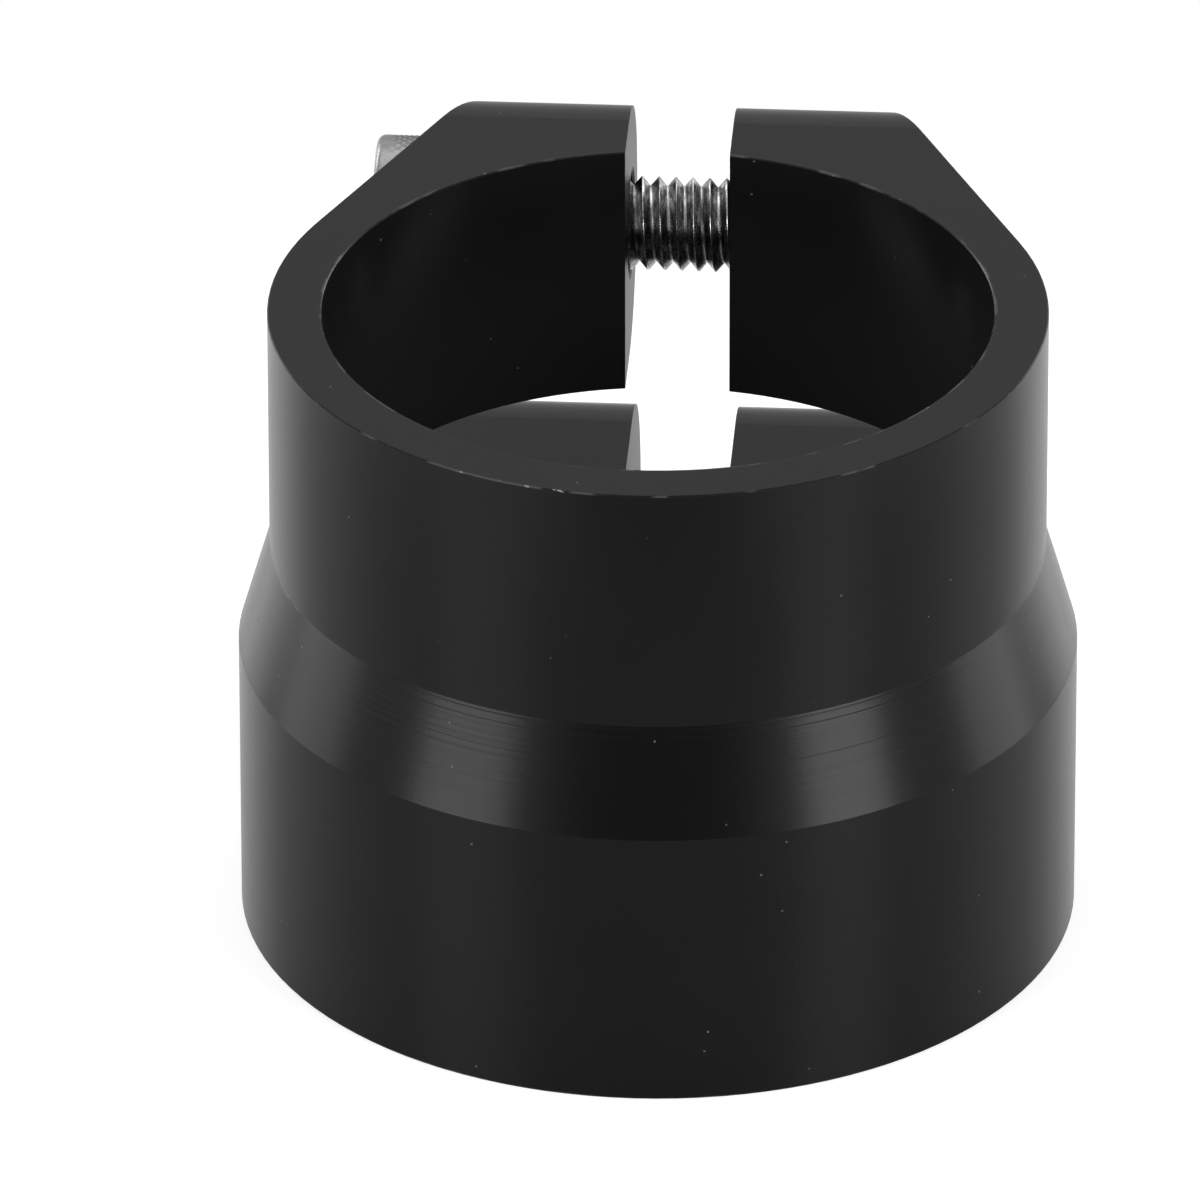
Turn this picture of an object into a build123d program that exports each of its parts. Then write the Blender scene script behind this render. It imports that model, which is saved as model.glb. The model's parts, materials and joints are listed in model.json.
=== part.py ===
from build123d import *
from math import cos, radians, sin
import os

# Twin seatpost clamp in millimetres: the upper ring grips the post, the lower ring grips the seat tube.
# The origin is on the bores' axis in the bottom face, +Z up, ears towards +Y, screw heads towards -X.

# What the rings grip
post_diameter = 27.2
tube_diameter = 29.8

# Rings and the cone between them
ring_wall = 2.2
lower_ring_height = 12.0
cone_height = 4.5
upper_ring_height = 10.5
lip_height = 1.4
edge_break = 0.05

# Slots: one up through both pairs of ears, one across that frees the upper ring from the lower
pinch_slot_width = 4.3
relief_slot_height = 4.0
relief_slot_end = 3.3

# Ears, each with a half-round end and sides that leave the ring at a tangent
ear_side_angle = 25.0
screw_setback = 4.1

# Metal between each bore and the shank hole of its screw
upper_screw_wall = 1.8
lower_screw_wall = 2.7

# M4 socket cap screws
thread_diameter = 3.9
screw_length = 16.0
head_diameter = 6.8
head_height = 4.0
head_edge_round = 0.35
socket_across_flats = 3.0
socket_depth = 2.0
tip_bevel = 0.4

# Washers and the holes for the screws
washer_thickness = 0.8
washer_rim = 1.35
washer_edge_break = 0.1
washer_bore_clearance = 0.2
spot_face_depth = 1.25
spot_face_clearance = 0.3
thread_clearance = 0.05
shank_hole_clearance = 0.35
hole_edge_break = 0.1

# Sizes that follow from those above
post_bore_radius = post_diameter / 2
tube_bore_radius = tube_diameter / 2
upper_radius = post_bore_radius + ring_wall
lower_radius = tube_bore_radius + ring_wall
cone_top = lower_ring_height + cone_height
height = cone_top + upper_ring_height
relief_slot_top = lower_ring_height + relief_slot_height
tube_stop = lower_ring_height - lip_height
thread_radius = thread_diameter / 2
shank_hole_radius = thread_radius + shank_hole_clearance
upper_ear_reach = post_bore_radius + upper_screw_wall + shank_hole_radius + screw_setback
lower_ear_reach = tube_bore_radius + lower_screw_wall + shank_hole_radius + screw_setback
washer_radius = thread_radius + washer_bore_clearance + washer_rim
side_sin = sin(radians(ear_side_angle))
side_cos = cos(radians(ear_side_angle))


def ear_side_x(ring_radius, y):
    """Half width at y of the ears on a ring: their sides are tangents to the ring."""
    return (ring_radius - y * side_sin) / side_cos


# Each pair of ears: ring it grows from, how far it reaches, and its bottom and top
upper_ears = (upper_radius, upper_ear_reach, relief_slot_top, height)
lower_ears = (lower_radius, lower_ear_reach, 0, lower_ring_height)


def screw_axis(ears):
    """Y and Z of the screw through a pair of ears."""
    reach, bottom, top = ears[1:]
    return reach - screw_setback, (bottom + top) / 2


def seat_x(ears):
    """X of the spot face that the washer bears on."""
    return spot_face_depth - ear_side_x(ears[0], screw_axis(ears)[0])


def screw_plane(ears, x):
    """Plane across a screw's axis at x, facing the head."""
    y, z = screw_axis(ears)
    return Plane(origin=(x, y, z), x_dir=(0, 1, 0), z_dir=(-1, 0, 0))


def make_ear_blank(ears):
    """Both ears of a ring in one, before the slots and holes, with the edges of their sides broken."""
    ring_radius, reach, bottom, top = ears
    root_x, root_y = ring_radius * side_cos, ring_radius * side_sin
    end_x = ear_side_x(ring_radius, reach)
    end_radius = (top - bottom) / 2
    with BuildPart() as blank:
        with BuildSketch(Plane.XY.offset(bottom)):
            Polygon((0, 0), (root_x, root_y), (end_x, reach), (-end_x, reach), (-root_x, root_y), align=None)
        extrude(amount=top - bottom)
        with BuildSketch(Plane.YZ):
            with Locations((0, (bottom + top) / 2)):
                Rectangle(reach - end_radius, top - bottom, align=(Align.MIN, Align.CENTER))
            with Locations((reach - end_radius, (bottom + top) / 2)):
                Circle(end_radius)
        extrude(amount=lower_radius, both=True, mode=Mode.INTERSECT)
        for side_face in (blank.faces().sort_by(Axis.X)[0], blank.faces().sort_by(Axis.X)[-1]):
            chamfer(side_face.edges().sort_by(Axis.Y)[1:], edge_break)
    return blank


# Ears of both rings
upper_ear_blank = make_ear_blank(upper_ears)
lower_ear_blank = make_ear_blank(lower_ears)

# Clamp body, one machined piece
with BuildPart() as clamp_body:
    add(upper_ear_blank.part)
    add(lower_ear_blank.part)

    # Rings and cone, turned about the bores' axis
    with BuildSketch(Plane.XZ):
        with BuildLine():
            Polyline(
                (0, 0),
                (lower_radius - edge_break, 0),
                (lower_radius, edge_break),
                (lower_radius, lower_ring_height),
                (upper_radius, cone_top),
                (upper_radius, height - edge_break),
                (upper_radius - edge_break, height),
                (0, height),
                close=True,
            )
        make_face()
    revolve(axis=Axis.Z)

    # Bores: the post's runs down through the lip that stops on the seat tube's rim
    with BuildSketch(Plane.XZ):
        with BuildLine():
            Polyline(
                (0, 0),
                (tube_bore_radius + edge_break, 0),
                (tube_bore_radius, edge_break),
                (tube_bore_radius, tube_stop),
                (post_bore_radius, tube_stop),
                (post_bore_radius, height - edge_break),
                (post_bore_radius + edge_break, height),
                (0, height),
                close=True,
            )
        make_face()
    revolve(axis=Axis.Z, mode=Mode.SUBTRACT)

    # Relief slot, from the ears forward to a rounded end
    with BuildSketch(Plane.YZ):
        slot_radius = relief_slot_height / 2
        slot_middle = (lower_ring_height + relief_slot_top) / 2
        with Locations((relief_slot_end + slot_radius, slot_middle)):
            Circle(slot_radius)
            Rectangle(lower_ear_reach, relief_slot_height, align=(Align.MIN, Align.CENTER))
    extrude(amount=lower_radius, both=True, mode=Mode.SUBTRACT)

    # Pinch slot, up between the ears
    with BuildSketch():
        Rectangle(pinch_slot_width, lower_ear_reach, align=(Align.CENTER, Align.MIN))
    extrude(amount=height, mode=Mode.SUBTRACT)

    # Spot face and shank hole in the left ears, tapped hole in the right ears
    for ears in (upper_ears, lower_ears):
        with BuildSketch(screw_plane(ears, seat_x(ears))):
            Circle(washer_radius + spot_face_clearance)
        extrude(amount=lower_radius, mode=Mode.SUBTRACT)
        with BuildSketch(screw_plane(ears, 0)):
            Circle(shank_hole_radius)
        extrude(amount=lower_radius, mode=Mode.SUBTRACT)
        with BuildSketch(screw_plane(ears, 0)):
            Circle(thread_radius + thread_clearance)
        extrude(amount=-lower_radius, mode=Mode.SUBTRACT)
    slot_faces = clamp_body.faces().filter_by(Axis.X).group_by(lambda face: abs(face.center().X))[0]
    chamfer(slot_faces.edges().filter_by(GeomType.CIRCLE).filter_by(lambda edge: edge.is_closed), hole_edge_break)
clamp_body.part.label = "clamp_body"


def make_washer(ears):
    """Plain washer on the spot face of a pair of ears."""
    with BuildPart() as washer:
        with BuildSketch(screw_plane(ears, seat_x(ears))):
            Circle(washer_radius)
            Circle(thread_radius + washer_bore_clearance, mode=Mode.SUBTRACT)
        extrude(amount=washer_thickness)
        rims = washer.edges().filter_by(GeomType.CIRCLE).group_by(SortBy.RADIUS)[-1]
        chamfer(rims, washer_edge_break)
    return washer


def make_screw(ears):
    """Socket cap screw through a pair of ears, its head on the washer."""
    under_head = seat_x(ears) - washer_thickness
    with BuildPart() as screw:
        with BuildSketch(screw_plane(ears, under_head)):
            Circle(head_diameter / 2)
        extrude(amount=head_height)
        head_rim = screw.edges().filter_by(GeomType.CIRCLE).sort_by(Axis.X)[0]
        fillet(head_rim, head_edge_round)
        with BuildSketch(screw_plane(ears, under_head - head_height)):
            RegularPolygon(socket_across_flats / 2, side_count=6, major_radius=False)
        extrude(amount=-socket_depth, mode=Mode.SUBTRACT)
        with BuildSketch(screw_plane(ears, under_head)):
            Circle(thread_radius)
        extrude(amount=-screw_length)
        tip_rim = screw.edges().filter_by(GeomType.CIRCLE).sort_by(Axis.X)[-1]
        chamfer(tip_rim, tip_bevel)
    return screw


# Upper and lower screws with their washers
upper_washer = make_washer(upper_ears)
upper_washer.part.label = "upper_washer"
lower_washer = make_washer(lower_ears)
lower_washer.part.label = "lower_washer"
upper_screw = make_screw(upper_ears)
upper_screw.part.label = "upper_screw"
lower_screw = make_screw(lower_ears)
lower_screw.part.label = "lower_screw"

os.makedirs("parts", exist_ok=True)
for piece in (clamp_body, upper_washer, lower_washer, upper_screw, lower_screw):
    export_step(piece.part, f"parts/{piece.part.label}.step")
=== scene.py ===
"""Looks of the twin seatpost clamp: threaded steel screws, a black anodised body and a white studio."""

import json
from math import atan2, cos, pi, radians, sin, tan, tau
from types import SimpleNamespace

import bmesh
import bpy
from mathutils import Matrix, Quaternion, Vector


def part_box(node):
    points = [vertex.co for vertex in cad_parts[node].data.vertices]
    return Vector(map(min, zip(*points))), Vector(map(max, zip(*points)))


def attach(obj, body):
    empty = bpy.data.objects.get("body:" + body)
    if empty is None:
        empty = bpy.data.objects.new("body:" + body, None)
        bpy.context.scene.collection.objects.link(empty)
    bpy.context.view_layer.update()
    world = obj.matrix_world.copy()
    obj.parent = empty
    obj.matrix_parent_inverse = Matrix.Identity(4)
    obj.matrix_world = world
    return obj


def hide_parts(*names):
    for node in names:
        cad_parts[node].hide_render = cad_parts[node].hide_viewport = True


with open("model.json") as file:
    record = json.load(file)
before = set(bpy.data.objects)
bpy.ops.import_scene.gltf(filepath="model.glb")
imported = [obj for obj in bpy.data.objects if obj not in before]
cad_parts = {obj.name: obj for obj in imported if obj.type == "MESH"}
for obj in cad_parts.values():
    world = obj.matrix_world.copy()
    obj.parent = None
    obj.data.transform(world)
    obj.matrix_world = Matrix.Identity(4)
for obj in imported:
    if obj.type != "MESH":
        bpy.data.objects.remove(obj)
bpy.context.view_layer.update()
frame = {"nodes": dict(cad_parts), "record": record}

MM = 0.001
PHOTO_SIZE = 1200

# Sizes of the clamp that come with the frame
body_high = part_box("clamp_body")[1]
body_height = body_high.z
lower_radius = body_high.x
mounts = {mount["name"]: mount for mount in frame["record"]["mounts"]}
post_bore_radius = mounts["seatpost_clamp"]["dims"]["r_mm"] * MM
tube_bore_radius = mounts["seat_tube_clamp"]["dims"]["r_mm"] * MM
upper_radius = post_bore_radius + lower_radius - tube_bore_radius

# Cone between the rings, and how far below its top each tool line runs and how deep it is
cone_foot = 12.0 * MM
cone_top = 16.5 * MM
tool_lines = ((0.10 * MM, 1.0), (0.42 * MM, 1.0), (1.70 * MM, 0.45))

# Where the upper rim is worn most and where the cone's top edge carries a painted highlight, as azimuths from
# the camera's
worn_azimuth = -33
painted_shine_azimuth = -64

# M4 thread, as rolled, with the widths of crest and root as shares of half a pitch
crest_radius = 1.95 * MM
thread_pitch = 0.7 * MM
thread_depth = 0.37 * MM
crest_flat = 0.06
root_flat = 0.95
thread_phases = (-0.06, -0.045, -0.03, -0.01, 0.01, 0.03, 0.045, 0.06, 0.25, 0.40, 0.475, 0.525, 0.60, 0.75)
steps_per_turn = 96
tip_bevel = 0.4 * MM
sharp_angle = 28.0

# Socket cap head
head_height = 4.0 * MM
head_round = 0.35 * MM
round_steps = 6
socket_across_flats = 3.0 * MM
socket_depth = 2.0 * MM
socket_lead_in = 0.05 * MM
lead_in_angle = 60.0
drill_point = 0.45 * MM

# Knurl of the head
knurl_depth = 0.09 * MM
knurl_teeth = 48
knurl_margin = 0.45 * MM
knurl_rows = 28
knurl_lean = 7.0
points_per_tooth = 6

# Greys of the anodised body, as pairs where they vary from place to place
outside_greys = (0.0026, 0.0042)
# The bore's greys are painted light: paler than the outside, and palest towards its foot, to lift the shade
# inside the bore
bore_painted_light_greys = (0.0050, 0.0066)
bore_foot_painted_light_grey = 0.0170
dust_grey = 0.55
# Rim greys: partly wear, partly a painted edge highlight
rim_wear_and_highlight_greys = (0.0075, 0.045)
chip_grey = 0.20

# Greys of the steel
# Thread flanks are painted dark as painted shade, crests and roots bright as a painted highlight
flank_painted_shade_greys = (0.12, 0.50)
crest_painted_highlight_greys = (0.22, 0.85)
head_greys = (0.16, 0.34)
washer_greys = (0.396, 0.55)

# Camera of the photograph
camera_lens_px = 18765.8
camera_distance = 758.2 * MM
camera_azimuth = 3.4
camera_elevation = 28.169
top_centre_px = (657.96, 308.42)

# Plinth and even fill of the studio
plinth_radius = 66.0 * MM
plinth_grey = 0.55
plinth_glow = 0.62
fill_strength = 0.55

# Panels of the studio: name, azimuth from the camera's, elevation, distance, width, height and radiance
softboxes = (
    ("left", -52, 12, 0.5, 0.23, 0.36, 8.0),
    ("right", 50, 12, 0.5, 0.20, 0.36, 10.0),
    ("far_left", -103, 4, 0.5, 0.22, 0.30, 2.35),
    ("far_right", 101, 4, 0.5, 0.22, 0.30, 2.8),
    ("rear_left", -140, 17, 0.5, 0.20, 0.14, 3.5),
    ("rear_right", 140, 17, 0.5, 0.20, 0.14, 3.5),
    ("top", 180, 62, 0.6, 0.5, 0.4, 0.75),
)


def direction(azimuth, elevation):
    """Unit vector from the clamp: azimuth 0 towards the viewer's side (-Y), positive towards +X."""
    a, e = radians(azimuth), radians(elevation)
    return Vector((sin(a) * cos(e), -cos(a) * cos(e), sin(e)))


# Node helpers
def new_material(name):
    """Empty node material with its Principled shader."""
    material = bpy.data.materials.new(name)
    material.use_nodes = True
    tree = material.node_tree
    tree.nodes.clear()
    shader = tree.nodes.new("ShaderNodeBsdfPrincipled")
    output = tree.nodes.new("ShaderNodeOutputMaterial")
    tree.links.new(shader.outputs["BSDF"], output.inputs["Surface"])
    return material, tree, shader


def node(tree, kind, inputs=None, **settings):
    """A node with its settings and its inputs, which are values or other nodes' outputs."""
    made = tree.nodes.new(kind)
    for key, value in settings.items():
        setattr(made, key, value)
    for key, value in (inputs or {}).items():
        if isinstance(value, bpy.types.NodeSocket):
            tree.links.new(value, made.inputs[key])
        else:
            made.inputs[key].default_value = value
    return made


def math_node(tree, operation, first, second=0.0):
    """Output of a Math node."""
    return node(tree, "ShaderNodeMath", {0: first, 1: second}, operation=operation).outputs[0]


def plus(tree, first, second):
    """Sum of two values."""
    return math_node(tree, "ADD", first, second)


def times(tree, first, second):
    """Product of two values."""
    return math_node(tree, "MULTIPLY", first, second)


def larger(tree, first, second):
    """The larger of two values."""
    return math_node(tree, "MAXIMUM", first, second)


def across(tree, first, second):
    """Length of the hypotenuse over two sides."""
    return math_node(tree, "SQRT", plus(tree, times(tree, first, first), times(tree, second, second)))


def ramp(tree, value, low, high, from_value=0.0, to_value=1.0):
    """Smooth step of value between low and high."""
    return node(
        tree,
        "ShaderNodeMapRange",
        {"Value": value, "From Min": low, "From Max": high, "To Min": from_value, "To Max": to_value},
        interpolation_type="SMOOTHSTEP",
    ).outputs["Result"]


def away_from(tree, value, centre):
    """Distance of a value from a centre."""
    return math_node(tree, "ABSOLUTE", math_node(tree, "SUBTRACT", value, centre))


def band(tree, value, centre, reach, soft):
    """1 within reach of a centre, fading to 0 over a soft edge."""
    return ramp(tree, away_from(tree, value, centre), reach + soft, reach)


def along(tree, vector, way):
    """How far a vector goes in a direction."""
    return node(tree, "ShaderNodeVectorMath", {0: vector, 1: way}, operation="DOT_PRODUCT").outputs["Value"]


def noise(tree, vector, scale, detail=2.0, roughness=0.5):
    """Factor of a noise texture."""
    settings = {"Vector": vector, "Scale": scale, "Detail": detail, "Roughness": roughness}
    return node(tree, "ShaderNodeTexNoise", settings).outputs["Fac"]


def mix_value(tree, factor, first, second):
    """Mix of two values."""
    return node(tree, "ShaderNodeMix", {0: factor, 2: first, 3: second}, data_type="FLOAT").outputs[0]


def mix_colour(tree, factor, first, second):
    """Mix of two colours."""
    return node(tree, "ShaderNodeMix", {0: factor, 6: first, 7: second}, data_type="RGBA").outputs[2]


def grey(value):
    """Neutral colour."""
    return (value, value, value, 1.0)


def mix_greys(tree, factor, greys):
    """Mix of a pair of greys."""
    return mix_colour(tree, factor, grey(greys[0]), grey(greys[1]))


# Black anodised body
def surface_point(tree):
    """Place, distance from the bores' axis and normal of the point on the surface."""
    place = node(tree, "ShaderNodeTexCoord").outputs["Object"]
    x, y, z = node(tree, "ShaderNodeSeparateXYZ", {0: place}).outputs
    normal = node(tree, "ShaderNodeTexCoord").outputs["Normal"]
    normal_x, _, normal_z = node(tree, "ShaderNodeSeparateXYZ", {0: normal}).outputs
    flatness = ramp(tree, math_node(tree, "ABSOLUTE", normal_z), 0.75, 0.95)
    point = SimpleNamespace(place=place, x=x, y=y, z=z, radius=across(tree, x, y))
    point.normal_x, point.normal_z, point.flatness = normal_x, normal_z, flatness
    return point


def turning_marks(tree, point):
    """Height of the turning marks: round the walls and bores, and in rings on the end faces."""
    walk = mix_value(tree, point.flatness, point.z, point.radius)
    stretched = {0: times(tree, point.x, 0.004), 1: times(tree, point.y, 0.004), 2: walk}
    around = node(tree, "ShaderNodeCombineXYZ", stretched).outputs[0]
    fine = noise(tree, around, 9000.0, 2.0, 0.6)
    coarse = noise(tree, around, 2200.0, 1.0, 0.5)
    return plus(tree, times(tree, fine, 0.6), times(tree, coarse, 0.4))


def cone_marks(tree, point):
    """Strength of the marks, higher on the cone's front and near its top, and the cone's tool lines."""
    on_cone = times(tree, ramp(tree, point.normal_z, 0.1, 0.2), ramp(tree, point.normal_z, 0.5, 0.35))
    frontness = along(tree, point.place, direction(camera_azimuth, 0) / upper_radius)
    patchy = ramp(tree, frontness, 0.55, 0.80, 0.12, 1.0)
    coarser = times(tree, ramp(tree, point.z, cone_foot, cone_top, 2.0, 4.6), patchy)
    strength = plus(tree, 0.25, times(tree, on_cone, coarser))
    lines = 0.0
    for below_top, depth in tool_lines:
        away = away_from(tree, point.z, cone_top - below_top)
        lines = plus(tree, lines, ramp(tree, away, 0.05 * MM, 0.0, 0.0, depth))
    lines = times(tree, lines, ramp(tree, point.radius, upper_radius - 0.3 * MM, upper_radius))
    return strength, times(tree, lines, patchy)


def dust(tree, point):
    """Mask of a few round specks of uneven size."""
    cells = node(tree, "ShaderNodeTexVoronoi", {"Vector": point.place, "Scale": 950.0})
    lot = node(tree, "ShaderNodeSeparateColor", {0: cells.outputs["Color"]}).outputs[0]
    speck_size = ramp(tree, lot, 0.1, 1.0, 0.012, 0.055)
    return ramp(tree, math_node(tree, "SUBTRACT", speck_size, cells.outputs["Distance"]), 0.0, 0.006)


def worn_and_highlit_rims(tree, point):
    """Mask of the sharp rims, and their colour: painted paler as an edge highlight, rubbed in stretches and
    chipped, most at the left front; a painted highlight runs along part of the cone's top edge.
    """
    top = ramp(tree, point.z, body_height - 0.075 * MM, body_height - 0.055 * MM)
    bottom = ramp(tree, point.z, 0.10 * MM, 0.05 * MM)
    before_ears = ramp(tree, point.y, 6.5 * MM, 6.0 * MM)
    outer = times(tree, top, band(tree, point.radius, upper_radius, 0.045 * MM, 0.02 * MM))
    outer = times(tree, outer, before_ears)
    inner = times(tree, top, band(tree, point.radius, post_bore_radius + 0.06 * MM, 0.05 * MM, 0.03 * MM))
    lower = times(tree, bottom, ramp(tree, point.radius, lower_radius - 0.12 * MM, lower_radius - 0.06 * MM))
    # Painted highlight along the cone's top edge at one azimuth
    painted_shine = along(tree, point.place, direction(camera_azimuth + painted_shine_azimuth, 0) / upper_radius)
    painted_shine = times(tree, ramp(tree, painted_shine, 0.975, 0.99), band(tree, point.z, cone_top, 0.02 * MM, 0.03 * MM))
    rims = larger(tree, larger(tree, outer, larger(tree, inner, lower)), painted_shine)

    left_front = along(tree, point.place, direction(camera_azimuth + worn_azimuth, 0) / upper_radius)
    wear = larger(tree, ramp(tree, left_front, 0.84, 0.96, 0.0, 0.15), times(tree, inner, 0.09))
    rubbed = ramp(tree, plus(tree, noise(tree, point.place, 520.0, 2.0, 0.5), wear), 0.60, 0.68)
    chips = ramp(tree, plus(tree, noise(tree, point.place, 3400.0, 2.0, 0.6), wear), 0.78, 0.84)
    return rims, mix_colour(tree, chips, mix_greys(tree, rubbed, rim_wear_and_highlight_greys), grey(chip_grey))


def anodised_body():
    """Black anodised aluminium: turned walls, milled ears, dust, rims worn by handling and painted paler as
    edge highlights, and a bore painted paler as painted light in its shade.
    """
    material, tree, shader = new_material("anodised_body_black")
    point = surface_point(tree)
    marks = turning_marks(tree, point)
    mark_strength, lines = cone_marks(tree, point)
    grain = noise(tree, point.place, 5200.0, 2.0, 0.65)
    blotches = noise(tree, point.place, 160.0, 2.0, 0.55)
    specks = dust(tree, point)
    rims, worn = worn_and_highlit_rims(tree, point)

    # Colour: the bore is painted a little paler than the outside, most towards its foot: painted light that
    # lifts the shade inside it
    base = mix_greys(tree, blotches, outside_greys)
    in_bore = ramp(tree, point.radius, post_bore_radius + 0.15 * MM, post_bore_radius + 0.08 * MM)
    in_bore = times(tree, in_bore, math_node(tree, "SUBTRACT", 1.0, point.flatness))
    bore = mix_greys(tree, blotches, bore_painted_light_greys)
    depth = ramp(tree, point.z, body_height - 1.0 * MM, cone_top)
    bore = mix_colour(tree, depth, bore, grey(bore_foot_painted_light_grey))
    base = mix_colour(tree, in_bore, base, bore)
    base = mix_colour(tree, times(tree, specks, 0.13), base, grey(dust_grey))
    # Rims: their worn colour, which is also a painted edge highlight
    base = mix_colour(tree, rims, base, worn)
    tree.links.new(base, shader.inputs["Base Color"])

    # Gloss: satin, and less on the specks and the walls of the pinch slot
    slot_wall = ramp(tree, math_node(tree, "ABSOLUTE", point.normal_x), 0.97, 0.99)
    slot_wall = times(tree, slot_wall, band(tree, point.x, 0.0, 3.0 * MM, 1.0 * MM))
    roughness = plus(tree, 0.20, times(tree, grain, 0.07))
    roughness = plus(tree, roughness, times(tree, specks, 0.3))
    roughness = plus(tree, roughness, times(tree, slot_wall, 0.12))
    tree.links.new(roughness, shader.inputs["Roughness"])
    shader.inputs["Specular IOR Level"].default_value = 0.11

    # Relief: turning marks, tool lines and grain, one on another
    relief = None
    for strength, distance, height in (
        (0.25, 0.02 * MM, times(tree, marks, mark_strength)),
        (0.7, 0.01 * MM, lines),
        (0.2, 0.01 * MM, grain),
    ):
        inputs = {"Strength": strength, "Distance": distance, "Height": height}
        if relief:
            inputs["Normal"] = relief
        relief = node(tree, "ShaderNodeBump", inputs).outputs[0]
    tree.links.new(relief, shader.inputs["Normal"])
    return material


# Steel of the screws and washers
def smudges(tree, place):
    """Uneven grime of handled steel."""
    return noise(tree, place, 700.0, 3.0, 0.6)


def washer_tint(tree, place):
    """Colour of the washers."""
    return mix_greys(tree, smudges(tree, place), washer_greys)


def screw_tint(tree, place):
    """Colour of the screws: streaked flanks, painted dark as painted shade, between crests and roots painted
    bright as a painted highlight, and a plain head and tip.
    """
    x, y, z = node(tree, "ShaderNodeSeparateXYZ", {0: place}).outputs
    radius = across(tree, y, z)
    root_radius = crest_radius - thread_depth
    above_root = ramp(tree, radius, root_radius, root_radius + 0.08 * MM)
    flank = times(tree, above_root, ramp(tree, radius, crest_radius, crest_radius - 0.08 * MM))
    stretched = {0: place, 1: (1.0, 0.16, 0.16)}
    streaks = node(tree, "ShaderNodeVectorMath", stretched, operation="MULTIPLY").outputs[0]
    streak = ramp(tree, noise(tree, streaks, 9000.0, 3.0, 0.7), 0.42, 0.66)
    broken = ramp(tree, noise(tree, streaks, 4000.0, 3.0, 0.7), 0.38, 0.6)
    # Crests and roots painted bright as a painted highlight; flanks painted dark as painted shade
    crests = mix_greys(tree, broken, crest_painted_highlight_greys)
    threaded = mix_colour(tree, flank, crests, mix_greys(tree, streak, flank_painted_shade_greys))

    normal = node(tree, "ShaderNodeTexCoord").outputs["Normal"]
    facing_tip = node(tree, "ShaderNodeSeparateXYZ", {0: normal}).outputs[0]
    plain = larger(tree, ramp(tree, x, -0.02 * MM, -0.06 * MM), ramp(tree, facing_tip, 0.85, 0.95))
    return mix_colour(tree, plain, threaded, mix_greys(tree, smudges(tree, place), head_greys))


def steel(name, roughness, grain_scale, tint_at):
    """Stainless steel with a fine grain; tint_at makes its colour from the place on it."""
    material, tree, shader = new_material(name)
    place = node(tree, "ShaderNodeTexCoord").outputs["Object"]
    grain = noise(tree, place, grain_scale, 4.0, 0.6)
    tree.links.new(tint_at(tree, place), shader.inputs["Base Color"])
    tree.links.new(plus(tree, roughness, times(tree, grain, 0.16)), shader.inputs["Roughness"])
    shader.inputs["Metallic"].default_value = 1.0
    relief = node(tree, "ShaderNodeBump", {"Strength": 0.45, "Distance": 0.01 * MM, "Height": grain})
    tree.links.new(relief.outputs[0], shader.inputs["Normal"])
    return material


# Screws
def thread_radius_at(phase):
    """Radius of the thread at a phase from 0 to 1 along its pitch, with the rounded crest at 0."""
    away = abs(phase - round(phase)) * 2
    if away < 2 * crest_flat:
        below_crest = away * away / (4 * crest_flat)
    else:
        below_crest = away - crest_flat
    return crest_radius - thread_depth * min(below_crest / (root_flat - crest_flat), 1.0)


def add_thread(mesh, length, first_phase):
    """Right-hand thread along +X from 0 to length, bevelled at its far end."""
    pitches = int(length / thread_pitch) + 3
    grid = []
    for step in range(steps_per_turn):
        angle = tau * step / steps_per_turn
        row = []
        for pitch_index in range(-2, pitches):
            for phase in thread_phases:
                place = thread_pitch * (pitch_index + phase + first_phase + step / steps_per_turn)
                place = min(max(place, 0.0), length)
                radius = thread_radius_at(place / thread_pitch - first_phase - step / steps_per_turn)
                radius = min(radius, crest_radius - tip_bevel + length - place)
                row.append(mesh.verts.new((place, radius * cos(angle), radius * sin(angle))))
        grid.append(row)
    rows = len(grid[0])
    for step in range(steps_per_turn):
        last = step == steps_per_turn - 1
        here, there = grid[step], grid[0 if last else step + 1]
        shift = len(thread_phases) if last else 0
        for j in range(rows - 1 - shift):
            mesh.faces.new((here[j], here[j + 1], there[j + 1 + shift], there[j + shift]))


def add_tip(mesh, length):
    """Flat end of the thread."""
    rim = [v for v in mesh.verts if abs(v.co.x - length) < 1e-9]
    edges = {edge for v in rim for edge in v.link_edges if edge.is_boundary and edge.other_vert(v) in rim}
    bmesh.ops.holes_fill(mesh, edges=list(edges))


def ring_of(mesh, along_axis, radii):
    """Closed ring of points about the X axis, one for each radius, at one place along it or a list of them."""
    count = len(radii)
    places = along_axis if isinstance(along_axis, list) else [along_axis] * count
    return [
        mesh.verts.new((place, radius * cos(tau * i / count), radius * sin(tau * i / count)))
        for i, (place, radius) in enumerate(zip(places, radii))
    ]


def bridge(mesh, first, second):
    """Quads between two rings with as many points."""
    count = len(first)
    for i in range(count):
        mesh.faces.new((first[i], first[(i + 1) % count], second[(i + 1) % count], second[i]))


def hexagon_radius(angle):
    """Distance from the socket's centre to its side at an angle."""
    sector = (angle + pi / 6) % (pi / 3) - pi / 6
    return socket_across_flats / 2 / cos(sector)


def knurl_radii(head_radius, share):
    """Radii round the head at a share of the knurl's length: two sets of grooves that cross."""
    fade = min(1.0, share * 8, (1 - share) * 8)
    radii = []
    for i in range(knurl_teeth * points_per_tooth):
        turn = i / points_per_tooth
        one = 0.5 + 0.5 * cos(tau * (turn + share * knurl_lean))
        other = 0.5 + 0.5 * cos(tau * (turn - share * knurl_lean))
        radii.append(head_radius - knurl_depth * (0.3 + 0.7 * fade * max(1 - one, 1 - other) ** 1.5))
    return radii


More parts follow.
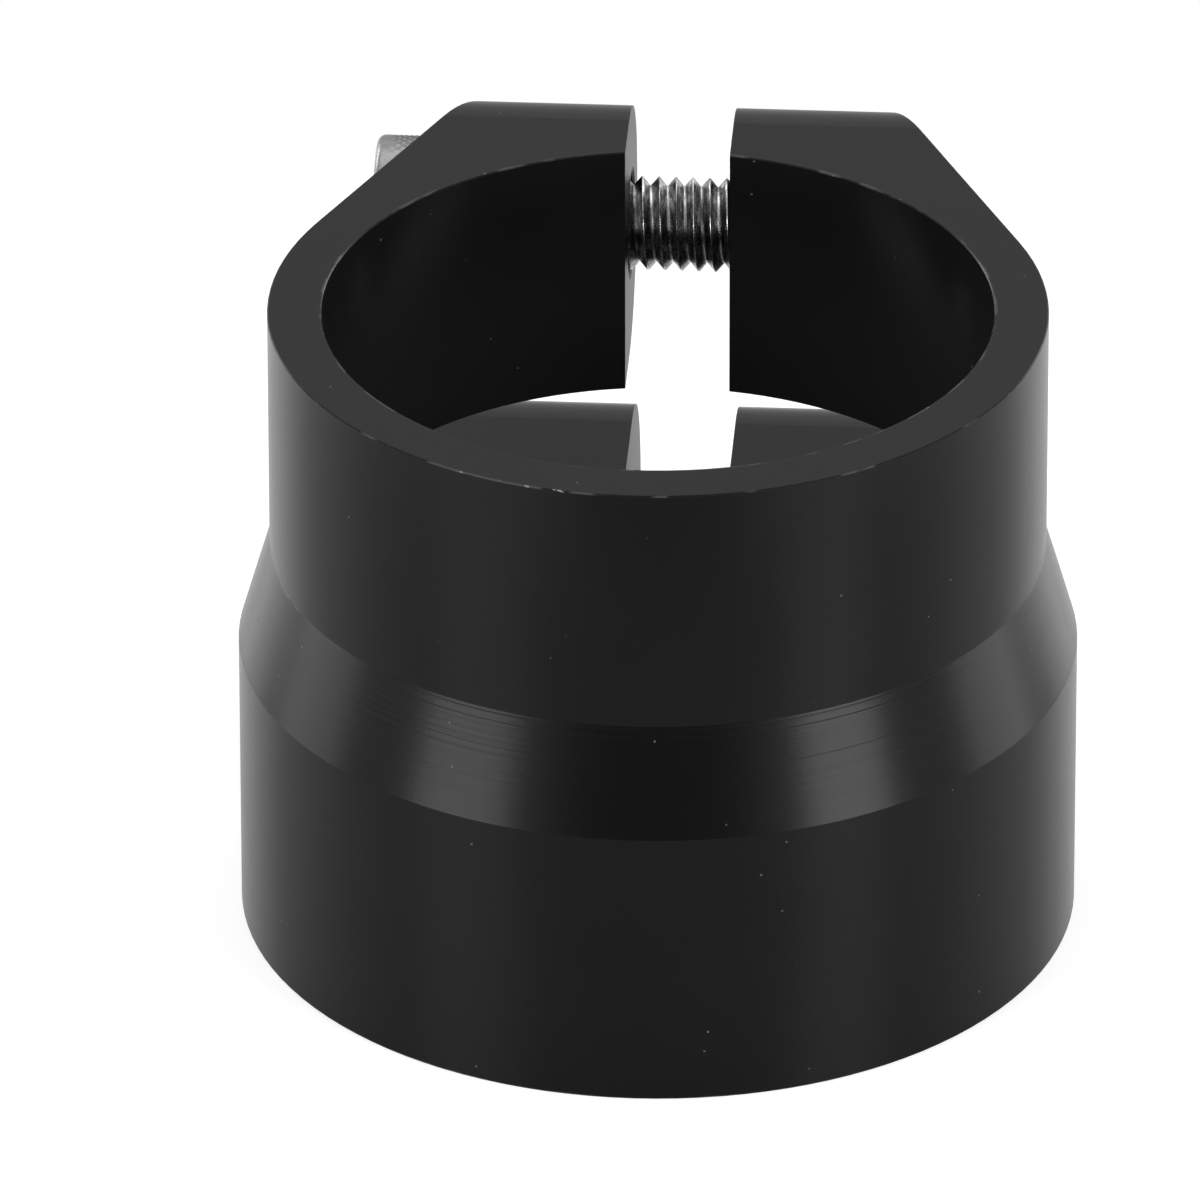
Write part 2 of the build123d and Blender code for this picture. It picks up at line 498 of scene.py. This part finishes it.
def add_head(mesh, head_radius):
    """Knurled cap head from X 0 to minus its height, with a hexagon socket."""
    count = knurl_teeth * points_per_tooth
    plain_radius = head_radius - 0.3 * knurl_depth
    rings = [
        ring_of(mesh, 0.0, [crest_radius * 0.8] * count),
        ring_of(mesh, 0.0, [head_radius - 0.25 * MM] * count),
        ring_of(mesh, -0.12 * MM, [plain_radius] * count),
        ring_of(mesh, -knurl_margin, [plain_radius] * count),
    ]
    knurl_end = -(head_height - head_round - 0.15 * MM)
    for row in range(knurl_rows + 1):
        share = row / knurl_rows
        place = -knurl_margin + share * (knurl_end + knurl_margin)
        rings.append(ring_of(mesh, place, knurl_radii(head_radius, share)))
    for step in range(round_steps + 1):
        angle = pi / 2 * step / round_steps
        radius = plain_radius - head_round * (1 - cos(angle))
        rings.append(ring_of(mesh, -(head_height - head_round) - head_round * sin(angle), [radius] * count))
    rings.append(ring_of(mesh, -head_height, [head_radius - head_round - 0.12 * MM] * count))

    # Hexagon socket, whose sides meet a shallow countersink
    hexagon = [hexagon_radius(tau * i / count) for i in range(count)]
    mouth = socket_across_flats / 2 / cos(pi / 6) + socket_lead_in
    scallops = [-head_height + (mouth - radius) / tan(radians(lead_in_angle)) for radius in hexagon]
    rings.append(ring_of(mesh, -head_height, [mouth + 0.08 * MM] * count))
    rings.append(ring_of(mesh, -head_height, [mouth] * count))
    rings.append(ring_of(mesh, scallops, hexagon))
    rings.append(ring_of(mesh, -head_height + socket_depth, hexagon))
    rings.append(ring_of(mesh, -head_height + socket_depth, [socket_across_flats * 0.42] * count))
    for first, second in zip(rings, rings[1:]):
        bridge(mesh, first, second)
    centre = mesh.verts.new((-head_height + socket_depth + drill_point, 0, 0))
    floor = rings[-1]
    for i in range(count):
        mesh.faces.new((floor[i], floor[(i + 1) % count], centre))


def make_screw(name, first_phase, material):
    """Screw that stands for the CAD screw of that name, made about its own axis and moved to its place."""
    low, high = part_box(name)
    under_head = low.x + head_height
    length = high.x - under_head

    mesh = bmesh.new()
    add_thread(mesh, length, first_phase)
    bmesh.ops.remove_doubles(mesh, verts=mesh.verts, dist=1e-7)
    bmesh.ops.dissolve_degenerate(mesh, dist=1e-7, edges=mesh.edges)
    add_tip(mesh, length)
    add_head(mesh, (high.z - low.z) / 2)
    bmesh.ops.recalc_face_normals(mesh, faces=mesh.faces)
    data = bpy.data.meshes.new(name + "_threaded")
    mesh.to_mesh(data)
    mesh.free()
    for polygon in data.polygons:
        polygon.use_smooth = True
    data.set_sharp_from_angle(angle=radians(sharp_angle))
    screw = bpy.data.objects.new(name + "_threaded", data)
    bpy.context.scene.collection.objects.link(screw)
    screw.location = (under_head, (low.y + high.y) / 2, (low.z + high.z) / 2)
    screw.data.materials.append(material)
    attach(screw, name)
    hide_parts(name)


# Stage
def plinth_material():
    """Pale matt cloth that glows white to the camera, with a sheen that only reflections show; in reflections
    its glow fades to a painted shadow under the clamp.
    """
    material = bpy.data.materials.new("plinth_white")
    material.use_nodes = True
    tree = material.node_tree
    tree.nodes.clear()
    path = node(tree, "ShaderNodeLightPath")
    place = node(tree, "ShaderNodeTexCoord").outputs["Object"]
    away = node(tree, "ShaderNodeVectorMath", {0: place}, operation="LENGTH").outputs["Value"]
    # Glow seen in reflections: dimmed to about half, and fading to a painted shadow under the clamp
    glow_share_with_painted_shadow = ramp(tree, away, tube_bore_radius, lower_radius, 0.1, 1.0)
    behind = along(tree, place, direction(camera_azimuth + 180, 0))
    glow_share_with_painted_shadow = times(tree, glow_share_with_painted_shadow, ramp(tree, behind, 0.0, 20 * MM, 0.45, 0.54))
    mirrored = times(tree, path.outputs["Is Glossy Ray"], glow_share_with_painted_shadow)
    seen = larger(tree, path.outputs["Is Camera Ray"], mirrored)
    seen = larger(tree, seen, path.outputs["Is Transmission Ray"])
    cloth = node(tree, "ShaderNodeBsdfDiffuse", {"Color": grey(plinth_grey)})
    strength = times(tree, seen, plinth_glow)
    glow = node(tree, "ShaderNodeEmission", {"Color": grey(1.0), "Strength": strength})
    matt = node(tree, "ShaderNodeAddShader", {0: cloth.outputs[0], 1: glow.outputs[0]}).outputs[0]
    fresnel = node(tree, "ShaderNodeFresnel", {"IOR": 1.5}).outputs[0]
    gloss = mix_colour(tree, fresnel, grey(0.0), grey(1.4))
    sheen = node(tree, "ShaderNodeBsdfGlossy", {"Color": gloss, "Roughness": 0.25})
    satin = node(tree, "ShaderNodeAddShader", {0: matt, 1: sheen.outputs[0]}).outputs[0]
    either = node(tree, "ShaderNodeMixShader", {0: path.outputs["Is Glossy Ray"], 1: matt, 2: satin})
    node(tree, "ShaderNodeOutputMaterial", {"Surface": either.outputs[0]})
    return material


def add_plinth():
    """Round pale plinth under the clamp, which keeps the clamp's shadow."""
    mesh = bmesh.new()
    bmesh.ops.create_circle(mesh, cap_ends=True, segments=128, radius=plinth_radius)
    data = bpy.data.meshes.new("plinth")
    mesh.to_mesh(data)
    mesh.free()
    plinth = bpy.data.objects.new("plinth", data)
    bpy.context.scene.collection.objects.link(plinth)
    plinth.location.z = -0.01 * MM
    plinth.data.materials.append(plinth_material())


def add_world():
    """White surroundings for the camera, uneven ones for reflections, and an even fill for the rest."""
    world = bpy.data.worlds.new("studio")
    bpy.context.scene.world = world
    world.use_nodes = True
    tree = world.node_tree
    tree.nodes.clear()
    path = node(tree, "ShaderNodeLightPath")
    camera = path.outputs["Is Camera Ray"]
    seen = larger(tree, camera, path.outputs["Is Glossy Ray"])
    seen = larger(tree, seen, path.outputs["Is Transmission Ray"])
    ray = node(tree, "ShaderNodeTexCoord").outputs["Generated"]
    ray_z = node(tree, "ShaderNodeSeparateXYZ", {0: ray}).outputs[2]
    flat = {0: ray, 1: (1.0, 1.0, 0.0)}
    level = node(tree, "ShaderNodeVectorMath", flat, operation="MULTIPLY").outputs[0]
    level = node(tree, "ShaderNodeVectorMath", {0: level}, operation="NORMALIZE").outputs[0]
    to_viewer = along(tree, level, direction(camera_azimuth, 0))

    # Dark in front, brighter below the floor's level, and dimmer near the horizon straight behind
    dark_front = ramp(tree, to_viewer, 0.84, 0.975, 1.0, 0.15)
    bright_below = ramp(tree, ray_z, -0.05, -0.24, 1.0, 2.1)
    level_behind = ramp(tree, ray_z, 0.40, 0.10, 1.0, 0.62)
    behind = ramp(tree, to_viewer, -0.90, -0.97)
    around = mix_value(tree, behind, times(tree, dark_front, bright_below), level_behind)
    mirrored = larger(tree, around, camera)
    span = {"Value": seen, "To Min": fill_strength, "To Max": mirrored}
    strength = node(tree, "ShaderNodeMapRange", span).outputs["Result"]
    glow = node(tree, "ShaderNodeBackground", {"Color": grey(1.0), "Strength": strength})
    node(tree, "ShaderNodeOutputWorld", {"Surface": glow.outputs[0]})


def add_softbox(name, azimuth, elevation, distance, width, height, radiance):
    """Rectangular area light facing the clamp, given by how bright its face looks."""
    light = bpy.data.lights.new(name, "AREA")
    light.shape = "RECTANGLE"
    light.size = width
    light.size_y = height
    light.energy = radiance * pi * width * height
    lamp = bpy.data.objects.new(name, light)
    bpy.context.scene.collection.objects.link(lamp)
    towards = direction(azimuth, elevation)
    lamp.location = Vector((0, 0, body_height / 2)) + towards * distance
    lamp.rotation_mode = "QUATERNION"
    lamp.rotation_quaternion = towards.to_track_quat("Z", "Y")


def add_camera():
    """Camera at the photograph's place, turned so that the top face's centre lands where it does there."""
    data = bpy.data.cameras.new("camera")
    data.sensor_width = 36.0
    data.lens = camera_lens_px / PHOTO_SIZE * data.sensor_width
    data.clip_start, data.clip_end = 0.05, 20.0
    camera = bpy.data.objects.new("camera", data)
    bpy.context.scene.collection.objects.link(camera)
    towards = direction(camera_azimuth, camera_elevation)
    camera.location = Vector((0, 0, body_height)) + towards * camera_distance
    right_px = top_centre_px[0] - PHOTO_SIZE / 2
    up_px = PHOTO_SIZE / 2 - top_centre_px[1]
    aim = towards.to_track_quat("Z", "Y")
    pan = Quaternion((0, 1, 0), atan2(right_px, camera_lens_px))
    tilt = Quaternion((1, 0, 0), -atan2(up_px, camera_lens_px))
    camera.rotation_mode = "QUATERNION"
    camera.rotation_quaternion = aim @ pan @ tilt
    bpy.context.scene.camera = camera


add_camera()
add_plinth()
add_world()
for panel_name, panel_azimuth, *panel_sizes in softboxes:
    add_softbox("softbox_" + panel_name, camera_azimuth + panel_azimuth, *panel_sizes)

frame["nodes"]["clamp_body"].data.materials[0] = anodised_body()
screw_steel = steel("screw_steel_rolled", 0.2, 7000.0, screw_tint)
washer_steel = steel("washer_steel_pressed", 0.3, 3500.0, washer_tint)
for washer_name in ("upper_washer", "lower_washer"):
    frame["nodes"][washer_name].data.materials[0] = washer_steel

make_screw("upper_screw", 0.80, screw_steel)
make_screw("lower_screw", 0.35, screw_steel)

bpy.context.scene.view_settings.view_transform = "Standard"
